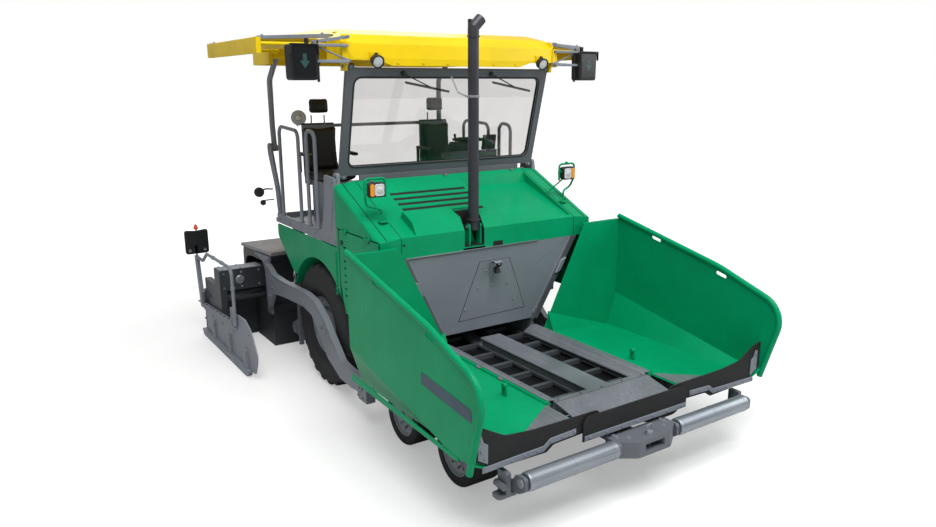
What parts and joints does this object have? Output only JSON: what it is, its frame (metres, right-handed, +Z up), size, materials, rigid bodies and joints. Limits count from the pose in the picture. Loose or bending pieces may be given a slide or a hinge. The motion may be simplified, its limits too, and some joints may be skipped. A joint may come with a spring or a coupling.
{
  "type": "asphalt paver",
  "caption": "Wheeled asphalt paver with folding hopper, push rollers, conveyor tunnel, augers, folding hardtop and an extending screed on tow arms.",
  "frame": {"origin": "centre of the machine's footprint on the ground", "axes": "+Z up, -Y towards the hopper at the front, +X to the machine's left"},
  "size_m": [4.046, 6.313, 3.8204],
  "materials": {
    "frame_grey": "semi-gloss",
    "body_green": "gloss",
    "roof_yellow": "gloss",
    "tyre_rubber": "matte",
    "rim_grey": "semi-gloss",
    "flap_rubber": "matte",
    "bare_steel": "satin",
    "dark_steel": "matte",
    "engine_iron": "matte",
    "seat_black": "matte",
    "screen_glass": "clear",
    "pipe_black": "satin",
    "lamp_black": "matte",
    "chrome_rod": "mirror",
    "tread_steel": "satin"
  },
  "bodies": {
    "chassis": {"chassis_frame": "frame_grey", "final_drives": "frame_grey", "platform_sides": "frame_grey", "engine_block": "engine_iron", "front_axle": "frame_grey", "conveyor": "dark_steel", "conveyor_covers": "bare_steel", "centre_flap": "flap_rubber", "tunnel_plate": "frame_grey", "engine_hood": "body_green", "fenders": "body_green", "platform": "frame_grey", "seat_cushions": "seat_black", "operator_station": "frame_grey", "handrails": "frame_grey", "headlights": "lamp_black"},
    "front_knuckle_left": {"front_knuckle_left": "frame_grey"},
    "front_wheel_left": {"front_tyre_left": "tyre_rubber", "front_rim_left": "rim_grey"},
    "front_knuckle_right": {"front_knuckle_right": "frame_grey"},
    "front_wheel_right": {"front_tyre_right": "tyre_rubber", "front_rim_right": "rim_grey"},
    "second_knuckle_left": {"second_knuckle_left": "frame_grey"},
    "second_wheel_left": {"second_tyre_left": "tyre_rubber", "second_rim_left": "rim_grey"},
    "second_knuckle_right": {"second_knuckle_right": "frame_grey"},
    "second_wheel_right": {"second_tyre_right": "tyre_rubber", "second_rim_right": "rim_grey"},
    "rear_wheel_left": {"rear_tyre_left": "tyre_rubber", "rear_rim_left": "rim_grey"},
    "rear_wheel_right": {"rear_tyre_right": "tyre_rubber", "rear_rim_right": "rim_grey"},
    "wing_left": {"hopper_wing_left": "body_green", "wing_flap_left": "flap_rubber"},
    "wing_right": {"hopper_wing_right": "body_green", "wing_flap_right": "flap_rubber"},
    "push_bar": {"push_bar": "frame_grey"},
    "push_rollers": {"push_rollers": "rim_grey"},
    "door_left": {"side_door_left": "body_green"},
    "door_right": {"side_door_right": "body_green"},
    "steering_wheel": {"steering_wheel": "lamp_black"},
    "windscreen": {"windscreen_frame": "dark_steel", "windscreen_glass": "screen_glass"},
    "roof": {"roof": "roof_yellow", "lamp_brackets": "lamp_black"},
    "rear_posts": {"rear_posts": "frame_grey"},
    "exhaust": {"exhaust_pipe": "pipe_black"},
    "awning_left": {"awning_left": "roof_yellow"},
    "awning_right": {"awning_right": "roof_yellow"},
    "auger_left": {"auger_left": "bare_steel"},
    "auger_right": {"auger_right": "bare_steel"},
    "screed": {"screed_arms": "frame_grey", "screed_base": "dark_steel", "screed_walkway": "tread_steel"},
    "extension_left": {"screed_extension_left": "dark_steel", "end_gate_left": "frame_grey"},
    "extension_right": {"screed_extension_right": "dark_steel", "end_gate_right": "frame_grey"},
    "lift_barrels": {"lift_barrels": "frame_grey"},
    "lift_rods": {"lift_rods": "chrome_rod"}
  },
  "joints": [
    {"name": "steer_front_left", "type": "hinge", "parent": "chassis", "child": "front_knuckle_left", "pos_m": [0.8, -2.1135, 0.28], "axis": [0, 0, 1], "range_deg": [-25, 25]},
    {"name": "spin_front_left", "type": "hinge", "parent": "front_knuckle_left", "child": "front_wheel_left", "pos_m": [1.08, -2.1135, 0.28], "axis": [1, 0, 0], "continuous": true},
    {"name": "steer_front_right", "type": "hinge", "parent": "chassis", "child": "front_knuckle_right", "pos_m": [-0.8, -2.1135, 0.28], "axis": [0, 0, 1], "range_deg": [-25, 25]},
    {"name": "spin_front_right", "type": "hinge", "parent": "front_knuckle_right", "child": "front_wheel_right", "pos_m": [-1.08, -2.1135, 0.28], "axis": [1, 0, 0], "continuous": true},
    {"name": "steer_second_left", "type": "hinge", "parent": "chassis", "child": "second_knuckle_left", "pos_m": [0.8, -1.2235, 0.28], "axis": [0, 0, 1], "range_deg": [-16.5, 16.5]},
    {"name": "spin_second_left", "type": "hinge", "parent": "second_knuckle_left", "child": "second_wheel_left", "pos_m": [1.08, -1.2235, 0.28], "axis": [1, 0, 0], "continuous": true},
    {"name": "steer_second_right", "type": "hinge", "parent": "chassis", "child": "second_knuckle_right", "pos_m": [-0.8, -1.2235, 0.28], "axis": [0, 0, 1], "range_deg": [-16.5, 16.5]},
    {"name": "spin_second_right", "type": "hinge", "parent": "second_knuckle_right", "child": "second_wheel_right", "pos_m": [-1.08, -1.2235, 0.28], "axis": [1, 0, 0], "continuous": true},
    {"name": "spin_rear_left", "type": "hinge", "parent": "chassis", "child": "rear_wheel_left", "pos_m": [1.068, 0.5065, 0.683], "axis": [1, 0, 0], "continuous": true},
    {"name": "spin_rear_right", "type": "hinge", "parent": "chassis", "child": "rear_wheel_right", "pos_m": [-1.068, 0.5065, 0.683], "axis": [1, 0, 0], "continuous": true},
    {"name": "wing_fold_left", "type": "hinge", "parent": "chassis", "child": "wing_left", "pos_m": [0.587, -1.6935, 0.7123], "axis": [0, -1, 0], "range_deg": [0, 47]},
    {"name": "wing_fold_right", "type": "hinge", "parent": "chassis", "child": "wing_right", "pos_m": [-0.587, -1.6935, 0.7123], "axis": [0, 1, 0], "range_deg": [0, 47]},
    {"name": "push_bar_swing", "type": "hinge", "parent": "chassis", "child": "push_bar", "pos_m": [0, -2.6435, 0.43], "axis": [0, 0, 1], "range_deg": [-6, 6]},
    {"name": "push_roller_spin", "type": "hinge", "parent": "push_bar", "child": "push_rollers", "pos_m": [0, -3.0565, 0.47], "axis": [1, 0, 0], "continuous": true},
    {"name": "door_lift_left", "type": "hinge", "parent": "chassis", "child": "door_left", "pos_m": [1.283, -0.4835, 1.844], "axis": [0, -1, 0], "range_deg": [0, 80]},
    {"name": "door_lift_right", "type": "hinge", "parent": "chassis", "child": "door_right", "pos_m": [-1.283, -0.4835, 1.844], "axis": [0, 1, 0], "range_deg": [0, 80]},
    {"name": "steering_wheel_turn", "type": "hinge", "parent": "chassis", "child": "steering_wheel", "pos_m": [0.8, 0.7165, 2.59], "axis": [0, 0, 1], "continuous": true},
    {"name": "windscreen_fold", "type": "hinge", "parent": "chassis", "child": "windscreen", "pos_m": [0, 0.0195, 2.34], "axis": [1, 0, 0], "range_deg": [0, 34]},
    {"name": "roof_level", "type": "hinge", "parent": "windscreen", "child": "roof", "pos_m": [0, -0.2495, 3.4], "axis": [1, 0, 0], "range_deg": [-34, 0]},
    {"name": "rear_post_fold", "type": "hinge", "parent": "chassis", "child": "rear_posts", "pos_m": [0, 1.9265, 2.5], "axis": [1, 0, 0], "range_deg": [0, 34]},
    {"name": "exhaust_fold", "type": "hinge", "parent": "chassis", "child": "exhaust", "pos_m": [-0.2, -0.8835, 1.88], "axis": [1, 0, 0], "range_deg": [0, 34]},
    {"name": "awning_slide_left", "type": "slide", "parent": "roof", "child": "awning_left", "axis": [1, 0, 0], "range_m": [-0.55, 0]},
    {"name": "awning_slide_right", "type": "slide", "parent": "roof", "child": "awning_right", "axis": [-1, 0, 0], "range_m": [-0.55, 0]},
    {"name": "auger_spin_left", "type": "hinge", "parent": "chassis", "child": "auger_left", "pos_m": [0.55, 1.7265, 0.3], "axis": [1, 0, 0], "continuous": true},
    {"name": "auger_spin_right", "type": "hinge", "parent": "chassis", "child": "auger_right", "pos_m": [-0.55, 1.7265, 0.3], "axis": [1, 0, 0], "continuous": true},
    {"name": "screed_lift", "type": "hinge", "parent": "chassis", "child": "screed", "pos_m": [0, -0.6735, 0.4], "axis": [1, 0, 0], "range_deg": [0, 8]},
    {"name": "extension_slide_left", "type": "slide", "parent": "screed", "child": "extension_left", "axis": [1, 0, 0], "range_m": [-0.42, 0.62]},
    {"name": "extension_slide_right", "type": "slide", "parent": "screed", "child": "extension_right", "axis": [-1, 0, 0], "range_m": [-0.42, 0.62]},
    {"name": "lift_barrel_swing", "type": "hinge", "parent": "chassis", "child": "lift_barrels", "pos_m": [0, 1.1665, 1.61], "axis": [1, 0, 0], "range_deg": [0, 1.97]},
    {"name": "lift_rod_slide", "type": "slide", "parent": "lift_barrels", "child": "lift_rods", "axis": [0, -0.3571, 0.9341], "range_m": [0, 0.3026]}
  ],
  "couplings": [
    {"joint": "steer_front_right", "follows": "steer_front_left", "ratio": 1},
    {"joint": "steer_second_left", "follows": "steer_front_left", "ratio": 0.66},
    {"joint": "steer_second_right", "follows": "steer_front_left", "ratio": 0.66},
    {"joint": "roof_level", "follows": "windscreen_fold", "ratio": -1},
    {"joint": "rear_post_fold", "follows": "windscreen_fold", "ratio": 1},
    {"joint": "exhaust_fold", "follows": "windscreen_fold", "ratio": 1},
    {"joint": "lift_barrel_swing", "follows": "screed_lift", "ratio": 0.2444},
    {"joint": "lift_rod_slide", "follows": "screed_lift", "m_per_rad": 2.1598}
  ]
}
